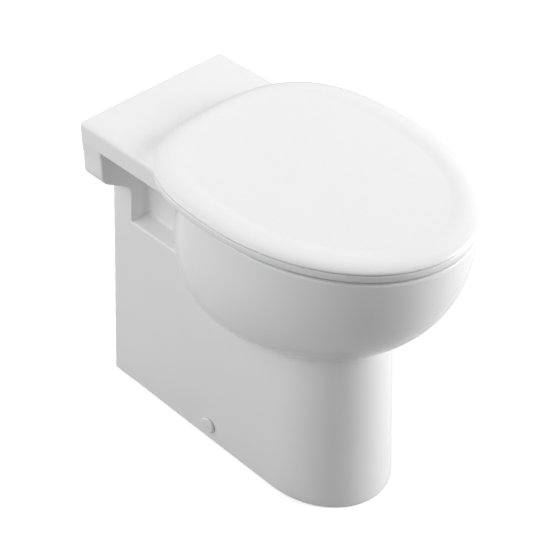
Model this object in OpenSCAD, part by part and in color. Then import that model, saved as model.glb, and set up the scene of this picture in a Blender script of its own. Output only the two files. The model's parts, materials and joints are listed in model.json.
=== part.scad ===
// Back-to-wall toilet: a fired china pan with a deck, an egg-shaped bowl, a trapway and a tapered
// hollow skirt, a seat ring and a thin lid on stainless hinges, and the floor fixings inside.
// Units are millimetres, +Z is up and the front faces -Y. The origin is on the floor, under the
// centre of the whole product. The pieces are drawn from the wall plane, which is moved back by
// half the projection at the end.

/* [Overall] */
// Projection from the wall to the front of the lid
projection = 577; // [480:1:700]
// Height of the bowl's rim above the floor
rim_h = 497; // [410:1:600]
// Width of the lid and the seat
seat_w = 369; // [305:1:450]

/* [Deck and rear apron] */
// Width of the deck
deck_w = 273; // [225:1:330]
// Step from the rim down to the deck
deck_drop = 3; // [1:0.5:6]
// Thickness of the deck's edge
deck_t = 33; // [27:1:42]
// Radius of the deck's rear corners in plan
deck_corner = 5; // [4:1:20]
// Radius of the deck's upper edge
deck_round = 7; // [3:0.5:8]
// How far the apron's sides stand in from the deck's
apron_inset = 3; // [1:0.5:8]
// Depth of the apron from the wall
apron_d = 38; // [30:1:48]
// Height of the apron's side below the deck's edge
apron_drop = 64; // [50:1:80]
// Fall of the apron's underside towards the skirt
haunch = 42; // [25:1:50]

/* [Skirt] */
// Width of the skirt at the floor
foot_w = 201; // [180:1:240]
// Width lost on each side for every millimetre of height
taper = 0.049; // [0:0.005:0.07]
// Length of the skirt's straight sides from the wall
straight_l = 364; // [300:1:420]
// How far the skirt's toe stands back from the front of the lid
toe_back = 92; // [75:1:115]
// Length lost at the toe for every millimetre of height
toe_taper = 0.06; // [0:0.005:0.08]
// Thickness of the china walls
wall = 12; // [9:0.5:15]
// Half-width of the neck between the two side pockets
neck_hw = 50; // [45:1:60]
// Depth of the side pockets below the deck's edge
pocket_drop = 151; // [120:1:165]
// Fall of a pocket's floor towards the outside
pocket_fall = 3; // [0:1:10]
// Radius between a pocket's floor and the skirt's side
pocket_round = 13; // [6:1:16]

/* [Bowl] */
// How far the seat overhangs the bowl at the sides
overhang = 6.5; // [2:0.5:9]
// Distance of the bowl's rear from the wall
bowl_rear = 127; // [118:1:135]
// Distance of the bowl's widest point from the wall
bowl_mid = 349; // [320:1:380]
// Height of the bowl's lowest outside point above the floor
bowl_bottom = 208; // [190:1:230]
// How far the bowl's centre drifts back on its way down
bowl_lean = 122; // [90:1:140]
// Radius of the rim's outer edge
rim_round = 3; // [2:0.5:5]
// Height of the upright band under the rim's top
rim_band = 8; // [6:1:16]
// Width of the rim at the sides of the mouth
rim_side = 50; // [44:1:60]
// Width of the rim at the front of the mouth
rim_front = 48; // [42:1:60]
// Distance of the mouth's rear edge from the wall
mouth_rear = 196; // [185:1:215]
// Height of the rim's inner lip
lip_h = 44; // [32:1:52]
// Thickness of the rim's inner lip
lip_t = 10; // [7:0.5:12]
// Thickness of the rim's top over the flushing channel
rim_t = 17; // [12:1:20]

/* [Trapway and inlet] */
// Height of the waste outlet's centre
waste_h = 180; // [165:1:190]
// Outside diameter of the waste outlet
waste_d = 102; // [90:1:110]
// Length of the waste outlet's straight end
waste_l = 47; // [40:1:60]
// Distance of the waste outlet's end from the wall
waste_back = 70; // [60:1:90]
// Inside diameter of the trapway
trap_d = 58; // [50:1:62]
// Depth of the water seal in the trap
seal_depth = 50; // [50:1:60]
// Distance of the flush inlet's centre below the rim
inlet_drop = 88; // [84:1:100]
// Bore of the china flush inlet
inlet_d = 56; // [50:1:58]
// Distance of the flush inlet's mouth from the wall
inlet_back = 50; // [40:1:60]
// Outside diameter of the flush pipe that the rubber seal takes
pipe_d = 40; // [32:1:44]

/* [Seat and lid] */
// Gap between the rim and the seat
seat_gap = 7.5; // [4:0.5:9]
// Thickness of the seat
seat_t = 10.5; // [9:0.5:14]
// Gap between the seat and the lid
lid_gap = 1.5; // [1:0.5:3]
// Height of the lid's edge
lid_t = 8; // [7:0.5:12]
// Width of the roll round the lid's edge
lid_roll = 16; // [12:1:20]
// Thickness of the lid's plate
lid_plate = 3.5; // [3:0.5:5]
// How far the lid's top is dished below its raised border
lid_dish = 1.5; // [0.5:0.5:2]
// Squareness of the rear corners, where 2 is an ellipse
rear_square = 3; // [2.4:0.1:4]
// Distance of the seat's widest point from the wall
seat_mid = 326; // [300:1:360]
// Width of the seat ring at the sides
ring_side = 70; // [58:1:80]
// Width of the seat ring at the front
ring_front = 56; // [46:1:70]
// Distance of the rear edge of the seat's hole from the wall
hole_rear = 232; // [220:1:250]

/* [Hinges] */
// Distance between the two hinge bolts
bolt_spacing = 155; // [140:1:165]
// Distance of the lid's rear edge from the wall
lid_rear = 125; // [122:1:135]
// Distance of the hinge pins forward of the lid's rear edge
pin_in = 12; // [10:0.5:14]
// Height of the hinge pins above the deck
pin_up = 20.5; // [20:0.5:24]
// Diameter of the hinge pins
pin_d = 6; // [5:0.5:6]
// Radius of the hinge barrels
barrel_r = 6; // [6:0.25:6.5]
// Thickness of the upright hinge blades
blade_t = 4; // [3:0.5:5]
// Diameter of the hinge bolts
bolt_d = 8; // [6:1:10]

/* [Floor fixings] */
// Distance of the side fixings from the wall
fix_back = 224; // [190:1:250]
// Height of the side fixings
fix_h = 28; // [22:1:35]
// Diameter of the screw caps
cap_d = 25; // [22:1:28]
// Diameter of the side screws
screw_d = 5; // [4:0.5:6]
// Distance between the two floor holes of a bracket
floor_pitch_y = 36; // [28:1:50]
// Distance between the floor holes of the two brackets
floor_pitch_x = 120; // [100:1:130]
// Radius of the brackets' floor holes
floor_hole_r = 3.5; // [3:0.25:5]

/* [Hidden] */

// Colours
china = "white";
plastic = "whitesmoke";
steel = "silver";
rubber = "dimgray";

// Facets: points round an oval, round a trapway ring and round an exact curve
sides = 64;
tube_sides = 20;
$fn = 48;

// Clearances
seat_fit = 0.3; // what rests on something stands this far off it
run_fit = 0.05; // radial running fit of a pin in its bush
press = 0.05; // radial clearance of a pressed-in piece
swing = 0.6; // clearance round a barrel or a blade that swings
over = 1; // how far a cutting solid runs past the face that it cuts

// Levels
deck_z = rim_h - deck_drop;
deck_under = deck_z - deck_t;
seat_z = rim_h + seat_gap;
lid_z = seat_z + seat_t + lid_gap;
lid_top = lid_z + lid_t;
axis_z = deck_z + pin_up;
axis_back = lid_rear + pin_in;

// Bowl outline at the rim
bowl_hw = seat_w / 2 - overhang;
bowl_front = projection - 1;
mouth_hw = bowl_hw - rim_side;
mouth_front = bowl_front - rim_front;
lip_bottom = rim_h - lip_h;
mouth_round = 6;

// Trapway: three bends of one radius, joined by steep straight legs
trap_r = trap_d / 2;
bend = trap_r + wall;
leg = 80;
outlet_back = waste_back + waste_l + 1;
crown_z = waste_h + 87;
dip_z = crown_z - seal_depth - 2 * trap_r;
bend_reach = bend * sin(leg);
crown_back = outlet_back + 2 * bend_reach + leg_run(crown_z, waste_h);
dip_back = crown_back + 2 * bend_reach + leg_run(crown_z, dip_z);
throat_z = dip_z + bend;
throat_back = dip_back + bend_reach + 2.5;
trap_path = concat(
    [[-throat_back - 1, throat_z + 12, -leg]],
    [for (a = [-leg : leg / 4 : leg]) valley(dip_back, dip_z, a)],
    [for (a = [leg : -leg / 4 : -leg]) hill(crown_back, crown_z, a)],
    [for (a = [-leg : leg / 4 : 0]) valley(outlet_back, waste_h, a)],
    [[-outlet_back + 12, waste_h, 0]]);

// Skirt
foot_front = projection - toe_back - straight_l;
pocket_z = deck_under - pocket_drop;
hollow_top = pocket_z - pocket_fall - wall - 4;
pocket_end = bowl_rear + 23;
skirt_top = deck_under - apron_drop - haunch + 10;

// Hinges
bolt_x = bolt_spacing / 2;
head_r = bolt_d / 2 + 3;
blade_x = bolt_x - head_r - 0.5 - blade_t;
barrel_gap = 0.8;
barrel_l = 14;
seat_barrel_x = blade_x + blade_t + barrel_gap;
lid_barrel_x = blade_x - barrel_gap - barrel_l;
blade_half = 5;
gasket_t = 1;
plate_t = 2.5;
plate_z = deck_z + gasket_t;
head_t = 2.5;
bolt_hole_r = bolt_d / 2 + 2.5;
nut_access_r = 17;
bush_r = pin_d / 2 + 1.25;

// Floor fixings
fix_x = skirt_x(fix_h);
sleeve_r = 7;
cap_x = skirt_x(fix_h - cap_d / 2) + 0.1;
leg_t = 5;
bracket_x = skirt_x(50) - wall - seat_fit;

// ---- Functions ----

// Half-width of the skirt's outside at height z
function skirt_x(z) = foot_w / 2 - taper * z;

// Signed power, for superellipses
function spow(v, e) = sign(v) * pow(abs(v), e);

// Closed oval at height z: half-width, and distances of its widest point, front and rear from the
// wall; sq is the squareness of the rear half
function oval(hw, mid, front, rear, z, sq = 2) = [for (i = [0 : sides - 1])
    let (t = 360 * i / sides, e = sin(t) > 0 ? 2 / sq : 1)
    [hw * spow(cos(t), e), -mid + (sin(t) < 0 ? front - mid : mid - rear) * spow(sin(t), e), z]];

// Rounded edge of radius r as steps of [inset, height] from the side to the face
function edge(r, n) = [for (k = [0 : n]) [r * (1 - cos(90 * k / n)), r * sin(90 * k / n)]];

// How far down the bowl's outside a height lies, from 0 under the rim's band to 1 at the bottom
function down(z) = min(1, max(0, (rim_h - rim_band - z) / (rim_h - rim_band - bowl_bottom)));

// Outside of the bowl at height z, drawn in by inset
function bowl_ring(z, inset = 0) = let (u = down(z), mid = bowl_mid - bowl_lean * pow(u, 2.11))
    oval(bowl_hw * pow(1 - pow(u, 2.92), 0.68) - inset, mid,
        mid + (bowl_front - bowl_mid) * pow(1 - pow(u, 3), 0.56) - inset,
        mid - (bowl_mid - bowl_rear) * (1 - pow(u, 3.87)) + inset, z);

// Washed surface of the bowl at height z, from the lip's lower edge to the throat, let out by grow
function wash_ring(z, grow = 0) = let (s = min(1, max(0, (lip_bottom - z) / (lip_bottom - throat_z))),
    front_rim = bowl_front - wall, side_rim = bowl_hw - wall - 2, rear_rim = bowl_rear + 28,
    mid = bowl_mid + (throat_back - bowl_mid) * s)
    oval(trap_r + (side_rim - trap_r) * (1 - pow(s, 1.5)) + grow, mid,
        throat_back + trap_r + (front_rim - throat_back - trap_r) * (1 - s) + grow,
        throat_back - trap_r - (throat_back - trap_r - rear_rim) * (1 - pow(s, 1.2)) - grow, z);

// Mouth of the bowl at height z, let out by grow
function mouth_ring(z, grow = 0) =
    oval(mouth_hw + grow, bowl_mid, mouth_front + grow, mouth_rear - grow, z);

// Outline of the skirt at height z, drawn in by inset, with its straight rear past the wall by back
function skirt_ring(z, inset = 0, back = 0) = let (hw = skirt_x(z) - inset,
    reach = foot_front - toe_taper * z - inset)
    concat([[hw, back, z], [-hw, back, z]],
        [for (a = [0 : 6 : 180]) [-hw * cos(a), -straight_l - reach * sin(a), z]]);

// Outline of the deck at height z, drawn in by inset
function deck_ring(z, inset) = let (hw = deck_w / 2 - inset, r = deck_corner - inset / 2)
    concat([for (a = [0 : 15 : 90]) [hw - r + r * cos(a), -inset - r + r * sin(a), z]],
        [for (a = [90 : 15 : 180]) [-hw + r + r * cos(a), -inset - r + r * sin(a), z]],
        [[-hw, -bowl_mid + 120, z], [hw, -bowl_mid + 120, z]]);

// Outline of the seat and the lid at height z, drawn in by inset, with its rear edge given
function seat_outline(z, inset, rear) =
    oval(seat_w / 2 - inset, seat_mid, projection - inset, rear + inset, z, rear_square);

// Outline of the seat's hole at height z, let out by grow
function hole_ring(z, grow) = oval(seat_w / 2 - ring_side + grow, bowl_mid,
    projection - ring_front + grow, hole_rear - grow, z);

// Places on the trapway's bends, as [y, z, direction of travel]
function valley(back, z, a) = [-back + bend * sin(a), z + bend - bend * cos(a), a];
function hill(back, z, a) = [-back - bend * sin(a), z - bend + bend * cos(a), a];

// Length along Y of the straight leg between a crown and a dip
function leg_run(top, low) = max(0, top - low - 2 * bend * (1 - cos(leg))) / tan(leg);

// Ring of radius r square to the trapway at one of its places
function tube_ring(p, r) = [for (i = [0 : tube_sides - 1]) let (t = 360 * i / tube_sides)
    [r * cos(t), p[0] + r * sin(t) * sin(p[2]), p[1] - r * sin(t) * cos(p[2])]];

// ---- Helpers ----

// Solid through a list of closed rings with equal numbers of points
module loft(rings) {
    n = len(rings[0]);
    m = len(rings);
    flanks = [for (j = [0 : m - 2], i = [0 : n - 1]) let (k = (i + 1) % n, a = j * n, b = a + n)
        each [[a + i, b + i, b + k], [a + i, b + k, a + k]]];
    ends = [[for (i = [0 : n - 1]) i], [for (i = [n - 1 : -1 : 0]) (m - 1) * n + i]];
    polyhedron([for (r = rings) each r], concat(flanks, ends));
}

// Closed tube through a list of rings, where the last joins the first
module loop_loft(rings) {
    n = len(rings[0]);
    m = len(rings);
    polyhedron([for (r = rings) each r], [for (j = [0 : m - 1], i = [0 : n - 1])
        let (k = (i + 1) % n, a = j * n, b = ((j + 1) % m) * n)
        each [[a + i, b + i, b + k], [a + i, b + k, a + k]]]);
}

// One smooth mesh of everything inside
module one_skin() resize([0, 0, 0]) children();

// Moves the wall plane back by half the projection
module at_wall() translate([0, projection / 2, 0]) children();

// Cylinder along +X, starting at x
module rod_x(x, l, r) translate([x, 0, 0]) rotate([0, 90, 0]) cylinder(r = r, h = l);

// Cylinder along +Y, starting at the given distance from the wall
module rod_y(back, l, r, z) translate([0, -back, z]) rotate([-90, 0, 0]) cylinder(r = r, h = l);

// At the hinge's axis
module at_axis() at_wall() translate([0, -axis_back, axis_z]) children();

// Both sides, the left one mirrored
module both() {
    children();
    mirror([1, 0, 0]) children();
}

// ---- China pan ----

// Rear elevation of the pan below the deck: the skirt's sides, the haunch and the apron
module rear_profile() {
    low = deck_under - apron_drop;
    hw = deck_w / 2 - apron_inset;
    r = 12;
    half = concat([[0, -over], [skirt_x(0), -over], [skirt_x(0), 0],
        [skirt_x(low - haunch - 8), low - haunch - 8], [skirt_x(low) + 3, low - haunch + 2]],
        [for (a = [-45 : 15 : 0]) [hw - 2 - r + r * cos(a), low + r + r * sin(a)]],
        [[hw, deck_under + over], [0, deck_under + over]]);
    polygon(half);
    mirror([1, 0]) polygon(half);
}

module rear_plate(depth) rotate([90, 0, 0]) linear_extrude(depth) children();

// Cuts one side pocket, whose floor falls outwards and rounds over into the skirt's side
module pocket() {
    r = pocket_round;
    low = pocket_z - pocket_fall - r;
    translate([0, -apron_d, 0]) rotate([90, 0, 0]) linear_extrude(pocket_end - apron_d)
        polygon(concat([[neck_hw, pocket_z]],
            [for (a = [90 : -15 : 0]) [skirt_x(low) - r + r * cos(a), low + r * sin(a)]],
            [[deck_w, low], [deck_w, deck_under], [neck_hw, deck_under]]));
}

// Skirt and neck as fired, before the bowl and the deck join them
module skirt() difference() {
    union() {
        loft([skirt_ring(0, 1.5), skirt_ring(1.5), skirt_ring(skirt_top)]);
        intersection() {
            rear_plate(apron_d) rear_profile();
            translate([-deck_w, -2 * apron_d, 0]) cube([2 * deck_w, 4 * apron_d, rim_h]);
        }
        translate([-neck_hw, -pocket_end, hollow_top])
            cube([2 * neck_hw, pocket_end, deck_under + over - hollow_top]);
    }
    both() pocket();
    loft([skirt_ring(-over, wall, over), skirt_ring(hollow_top, wall, over)]);
    translate([0, over, 0]) rear_plate(apron_d - wall + over) difference() {
        offset(delta = -wall) rear_profile();
        translate([-deck_w, -2 * wall]) square([2 * deck_w, 2 * wall + 1]);
    }
    translate([wall - neck_hw, -pocket_end - wall, hollow_top - over])
        cube([2 * (neck_hw - wall), pocket_end + wall + over, deck_under - wall - hollow_top]);
}

module deck() loft(concat(
    [for (k = [2 : -1 : 0]) let (s = edge(3, 2)[k]) deck_ring(deck_under + 3 - s[1], s[0])],
    [for (s = edge(deck_round, 3)) deck_ring(deck_z - deck_round + s[1], s[0])]));

// Outside of the bowl, from its lowest point up over the rounded rim
module bowl_outside() {
    depth = rim_h - rim_band - bowl_bottom;
    loft(concat([for (u = [0.985, 0.95, 0.88, 0.8, 0.7, 0.6, 0.5, 0.4, 0.3, 0.15, 0])
            bowl_ring(rim_h - rim_band - depth * u)],
        [for (s = edge(rim_round, 3)) bowl_ring(rim_h - rim_round + s[1], s[0])]));
}

// Everything that is open inside the bowl: the mouth, the channel under the rim and the washed bowl
module bowl_inside() {
    depth = lip_bottom - throat_z;
    loft(concat([mouth_ring(lip_bottom - over), mouth_ring(rim_h - mouth_round)],
        [for (k = [1 : 3]) let (s = edge(mouth_round, 3)[k])
            mouth_ring(rim_h - mouth_round + s[1], s[0])],
        [mouth_ring(rim_h + over, mouth_round)]));
    loft([for (s = [1, 0.96, 0.9, 0.8, 0.68, 0.56, 0.44, 0.3, 0.15, 0]) wash_ring(lip_bottom - depth * s)]);
    difference() {
        loft([wash_ring(lip_bottom - over), wash_ring(rim_h - rim_t - 6), wash_ring(rim_h - rim_t, -6)]);
        loft([mouth_ring(lip_bottom - over, lip_t), mouth_ring(rim_h, lip_t)]);
    }
}

module trapway(r) loft([for (p = trap_path) tube_ring(p, r)]);

// Thickened wall round the lowest part of the bowl, which stays inside the skirt
module sump() {
    top = throat_z + 0.24 * (lip_bottom - throat_z);
    intersection() {
        loft([for (k = [0 : 4]) wash_ring(throat_z + (top - throat_z) * k / 4, wall - 1)]);
        loft([skirt_ring(0, 1), skirt_ring(rim_h, 1)]);
    }
}

module pan() {
    bore_end = bowl_rear + 60;
    color(china) at_wall() difference() {
        union() {
            one_skin() difference() {
                union() {
                    skirt();
                    deck();
                    bowl_outside();
                    sump();
                    trapway(trap_r + wall - 1);
                    rod_y(bowl_rear + wall, bowl_rear + wall - inlet_back, inlet_d / 2 + 8,
                        rim_h - inlet_drop);
                }
                bowl_inside();
                trapway(trap_r);
                both() translate([bolt_x, -axis_back, deck_z]) cylinder(r = 22, h = deck_drop + over);
                both() translate([bolt_x, -axis_back, deck_under - 62]) cylinder(r = nut_access_r, h = 62);
            }
            rod_y(waste_back + waste_l, waste_l, waste_d / 2, waste_h);
        }
        rod_y(waste_back + waste_l - 8, waste_l, waste_d / 2 - 9, waste_h);
        rod_y(bore_end, bore_end - inlet_back + over, inlet_d / 2, rim_h - inlet_drop);
        both() translate([bolt_x, -axis_back, deck_under - 2 * over])
            cylinder(r = bolt_hole_r, h = deck_t + 4 * over);
        both() translate([0, -fix_back, fix_h]) rod_x(fix_x - 2 * wall, 3 * wall, sleeve_r + 0.5);
    }
}

// Rubber ring pressed into the flush inlet, with a flange over its mouth
module flush_inlet_seal() color(rubber) at_wall() difference() {
    union() {
        rod_y(inlet_back + 30, 30, inlet_d / 2 - press, rim_h - inlet_drop);
        rod_y(inlet_back, 4, inlet_d / 2 + 6, rim_h - inlet_drop);
    }
    rod_y(inlet_back + 31, 40, pipe_d / 2, rim_h - inlet_drop);
}

// ---- Hinges ----

// One stainless plate with its upright blade, drawn for the right side
module hinge_plate() color(steel) difference() {
    union() {
        at_wall() translate([blade_x, -axis_back - 12, plate_z])
            cube([bolt_x + 11 - blade_x, 24, plate_t]);
        at_axis() rod_x(blade_x, blade_t, barrel_r);
        at_axis() translate([blade_x, -blade_half, plate_z - axis_z])
            cube([blade_t, 2 * blade_half, axis_z - plate_z]);
    }
    at_axis() rod_x(blade_x - over, blade_t + 2 * over, pin_d / 2);
    at_wall() translate([bolt_x, -axis_back, plate_z - over])
        cylinder(r = bolt_d / 2 + 0.2, h = plate_t + 2 * over);
}

// Pin through the blade, the lid's bush on its inner side and the seat's on its outer side
module hinge_pin() color(steel) at_axis()
    rod_x(lid_barrel_x, 2 * barrel_l + blade_t + 2 * barrel_gap, pin_d / 2);

// Low-headed bolt down through the deck
module hinge_bolt() color(steel) at_wall() translate([bolt_x, -axis_back, 0]) {
    translate([0, 0, plate_z + plate_t]) cylinder(r = head_r, h = head_t);
    translate([0, 0, deck_under - 28]) cylinder(r = bolt_d / 2, h = plate_z + plate_t - deck_under + 28);
}

module hinge_gaskets() color(rubber) both() at_wall() translate([bolt_x, -axis_back, deck_z])
    difference() {
        translate([blade_x - bolt_x, -12, 0]) cube([bolt_x + 11 - blade_x, 24, gasket_t]);
        translate([0, 0, -over]) cylinder(r = bolt_d / 2 + 0.5, h = gasket_t + 2 * over);
    }

// Rubber washers whose cones centre the bolts in the deck's wide holes
module cone_washers() color(rubber) both() at_wall() translate([bolt_x, -axis_back, deck_under])
    difference() {
        union() {
            translate([0, 0, -3]) cylinder(r = 12, h = 3);
            cylinder(r1 = bolt_hole_r - 0.2, r2 = bolt_d / 2 + 1, h = 7);
        }
        translate([0, 0, -3 - over]) cylinder(r = bolt_d / 2 + 0.1, h = 12);
    }

module wing_nuts() color(plastic) both() at_wall() translate([bolt_x, -axis_back, deck_under - 3])
    difference() {
        union() {
            translate([0, 0, -14]) cylinder(r = 8, h = 14);
            translate([-14, -1.75, -18]) cube([28, 3.5, 12]);
        }
        translate([0, 0, -18 - over]) cylinder(r = bolt_d / 2 + 0.1, h = 20);
    }

// ---- Floor fixings ----

// Angle bracket screwed to the floor inside the skirt, drawn for the right side
module floor_bracket() color(plastic) at_wall() translate([0, -fix_back, 0]) difference() {
    union() {
        translate([floor_pitch_x / 2 - 14, -floor_pitch_y / 2 - 12, 0])
            cube([bracket_x - floor_pitch_x / 2 + 14, floor_pitch_y + 24, leg_t]);
        translate([bracket_x - leg_t, -floor_pitch_y / 2 - 12, 0])
            cube([leg_t, floor_pitch_y + 24, fix_h + 20]);
        for (y = [-floor_pitch_y / 2 - 12, -2, floor_pitch_y / 2 + 8])
            translate([bracket_x - leg_t, y + 4, leg_t]) rotate([90, 0, 0]) linear_extrude(4)
                polygon([[-14, -0.5], [0.5, -0.5], [0.5, y == -2 ? 8 : 22], [0, y == -2 ? 8 : 22]]);
    }
    for (y = [-1, 1]) translate([floor_pitch_x / 2, y * floor_pitch_y / 2, -over])
        cylinder(r = floor_hole_r, h = leg_t + 2 * over);
    translate([0, 0, fix_h]) rod_x(bracket_x - leg_t - over, leg_t + 2 * over, screw_d / 2 + 0.05);
}

// Plastic sleeves that line the china's side holes
module side_sleeves() color(plastic) both() at_wall() translate([0, -fix_back, fix_h]) difference() {
    union() {
        rod_x(fix_x - wall - 1, wall + 1.6, sleeve_r);
        rod_x(fix_x + 0.6, 1, sleeve_r + 2.5);
    }
    rod_x(fix_x - wall - 2, 2 * wall, screw_d / 2 + 0.2);
    rod_x(fix_x - 6, 2 * wall, sleeve_r - 2);
}

module side_screws() color(steel) both() at_wall() translate([0, -fix_back, fix_h]) {
    rod_x(bracket_x - 16, fix_x - 6 - bracket_x + 16, screw_d / 2);
    rod_x(fix_x - 6, 3.5, sleeve_r - 2.4);
}

// Push-on cap over a side screw, drawn for the right side
module screw_cap() color(china) at_wall() translate([0, -fix_back, fix_h]) difference() {
    translate([cap_x, 0, 0]) rotate([0, 90, 0]) rotate_extrude() polygon(concat([[0, 0],
        [cap_d / 2, 0], [cap_d / 2, 2.2]], [for (s = edge(1.6, 3)) [cap_d / 2 - s[0], 2.2 + s[1]]],
        [[0, 4.2]]));
    rod_x(cap_x - over, 2.4 + over, sleeve_r + 2.5 + 0.2);
}

// ---- Seat ----

// Places of the buffers under the seat, as [x, distance from the wall]
seat_pads = [for (x = [-1, 1]) each [[x * (mouth_hw + rim_side / 2 - 6), bowl_mid + 60],
    [x * (mouth_hw * 0.55), bowl_mid + (bowl_front - bowl_mid) * 0.83]]];
arm_reach = 20;

module seat_ring() {
    low = seat_z;
    top = seat_z + seat_t;
    rear = lid_rear + 6;
    notch = axis_back + 13;
    outer = concat([[1.5, low]], [for (s = edge(3.5, 3)) [s[0], top - 3.5 + s[1]]]);
    inner = [[4, top], [1.2, top - 1.2], [0, top - 4], [1.5, low]];
    color(plastic) at_wall() difference() {
        union() {
            difference() {
                loop_loft(concat([for (p = outer) seat_outline(p[1], p[0], rear)],
                    [for (p = inner) hole_ring(p[1], p[0])]));
                translate([-bolt_x - 18, -notch, low - over])
                    cube([2 * (bolt_x + 18), notch, seat_t + 2 * over]);
            }
            both() translate([0, -axis_back, axis_z]) {
                rod_x(seat_barrel_x, barrel_l, barrel_r);
                translate([seat_barrel_x, -arm_reach, -barrel_r])
                    cube([barrel_l, arm_reach, top - axis_z + barrel_r - 0.5]);
            }
        }
        both() translate([0, -axis_back, axis_z]) rod_x(seat_barrel_x - over, barrel_l + 2 * over, bush_r);
    }
}

// Soft pads between the seat and the rim
module seat_buffers() color(plastic) at_wall() for (p = seat_pads) translate([p[0], -p[1], rim_h + seat_fit])
    cylinder(r1 = 7, r2 = 8.5, h = seat_gap - seat_fit);

// Tube that a hinge pin turns in
module bush(x) at_axis() difference() {
    rod_x(x, barrel_l, bush_r - press);
    rod_x(x - over, barrel_l + 2 * over, pin_d / 2 + run_fit);
}

module seat_hinge_bushes() color(rubber) both() bush(seat_barrel_x);

// ---- Lid ----

module lid() {
    under = lid_top - lid_dish - lid_plate;
    steps = concat([[9, under], [7, under - 0.6], [5, lid_z], [0.8, lid_z]],
        [for (a = [0 : 18 : 90]) [lid_roll * (1 - cos(a)), lid_z + 1 + (lid_t - 1) * sin(a)]],
        [for (k = [0.25, 0.6, 1]) [lid_roll + 18 * k, lid_top - lid_dish * k * k * (3 - 2 * k)]]);
    color(plastic) at_wall() difference() {
        union() {
            loft([for (s = steps) seat_outline(s[1], s[0], lid_rear)]);
            both() translate([0, -axis_back, axis_z]) {
                rod_x(lid_barrel_x, barrel_l, barrel_r);
                translate([lid_barrel_x, -barrel_r, 0]) cube([barrel_l, 2 * barrel_r, under + 1 - axis_z]);
            }
        }
        both() translate([0, -axis_back, axis_z]) {
            rod_x(lid_barrel_x - over, barrel_l + 2 * over, bush_r);
            rod_x(lid_barrel_x + barrel_l, blade_t + 2 * barrel_gap + barrel_l + swing, barrel_r + swing);
            translate([lid_barrel_x + barrel_l, -barrel_r - swing, -lid_t])
                cube([blade_t + 2 * barrel_gap + barrel_l + swing, 2 * (barrel_r + swing), lid_t]);
            translate([blade_x - swing, -blade_half - 2 * swing, -lid_t])
                cube([blade_t + 2 * swing, pin_in + blade_half + 3 * swing + over, 3 * lid_t]);
        }
    }
}

// Soft pads between the lid and the seat
module lid_buffers() {
    under = lid_top - lid_dish - lid_plate;
    color(plastic) at_wall() for (p = seat_pads)
        translate([p[0], -p[1], seat_z + seat_t + seat_fit])
            cylinder(r = 6, h = under - seat_z - seat_t - seat_fit);
}

module lid_hinge_bushes() color(rubber) both() bush(lid_barrel_x);

pan();
flush_inlet_seal();
mirror([1, 0, 0]) hinge_plate();  // hinge_plate_left
hinge_plate();  // hinge_plate_right
mirror([1, 0, 0]) hinge_pin();  // hinge_pin_left
hinge_pin();  // hinge_pin_right
mirror([1, 0, 0]) hinge_bolt();  // hinge_bolt_left
hinge_bolt();  // hinge_bolt_right
hinge_gaskets();
cone_washers();
wing_nuts();
mirror([1, 0, 0]) floor_bracket();  // floor_bracket_left
floor_bracket();  // floor_bracket_right
side_sleeves();
side_screws();
mirror([1, 0, 0]) screw_cap();  // screw_cap_left
screw_cap();  // screw_cap_right
seat_ring();
seat_buffers();
seat_hinge_bushes();
lid();
lid_buffers();
lid_hinge_bushes();
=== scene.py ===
"""Back-to-wall toilet: looks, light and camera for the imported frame.

Lengths in the shape functions are millimetres from the wall plane and the floor, as a maker reads
them; place() turns them into the frame's metres.
"""

import json
import math

import bmesh
import bpy
import numpy as np
from mathutils import Matrix, Vector


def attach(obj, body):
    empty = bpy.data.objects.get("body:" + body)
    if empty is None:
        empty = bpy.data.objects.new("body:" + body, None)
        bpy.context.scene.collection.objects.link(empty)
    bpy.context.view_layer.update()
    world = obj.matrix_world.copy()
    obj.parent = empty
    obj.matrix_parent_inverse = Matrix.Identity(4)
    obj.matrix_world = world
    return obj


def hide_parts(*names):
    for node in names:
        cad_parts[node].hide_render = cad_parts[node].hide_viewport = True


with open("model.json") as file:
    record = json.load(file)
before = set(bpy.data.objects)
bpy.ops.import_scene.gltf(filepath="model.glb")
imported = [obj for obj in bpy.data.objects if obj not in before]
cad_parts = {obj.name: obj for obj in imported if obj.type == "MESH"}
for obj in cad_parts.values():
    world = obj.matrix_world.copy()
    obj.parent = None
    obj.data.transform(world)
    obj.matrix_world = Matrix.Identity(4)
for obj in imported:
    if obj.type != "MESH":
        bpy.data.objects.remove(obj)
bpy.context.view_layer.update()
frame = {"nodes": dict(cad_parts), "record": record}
nodes = frame["nodes"]

# ---------------------------------------------------------------- sizes

# Heights and distances that several pieces share
PROJECTION = 577.0
RIM_Z = 500.0
DECK_Z = 497.0
DECK_UNDER = 461.0
DECK_HALF = 136.5
WALL = 12.0
PAST = 1.0  # how far a solid runs past the surface that it cuts or joins

# Seat
SEAT_HALF = 184.5
SEAT_MID = 326.0
SEAT_SQUARE = 3.0
SEAT_Z = 505.0
SEAT_TOP = 515.0
SEAT_EDGE = 1.8
SEAT_REAR = 131.0
SEAT_FOOT = ((0.0, 1.0), (0.5, 0.3), (1.2, 0.0))  # rise over SEAT_Z, inset
RING_SIDE, RING_FRONT, HOLE_REAR = 70.0, 56.0, 232.0
HOLE_ROUND = 4.0
HOLE_FOOT = ((1.5, 0.3), (0.0, 1.5))  # rise over SEAT_Z, growth
NOTCH_FRONT, NOTCH_SIDE = 13.0, 18.0  # past the hinge axis, past the bolts
PAD_FIT = 0.3
PAD_PLACES = ((147.0, 409.0), (70.4, 537.4))
PAD_PROFILE = ((5.4, 0.0), (6.6, 0.4), (7.2, 1.4), (8.5, SEAT_Z - RIM_Z - PAD_FIT))

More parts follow.
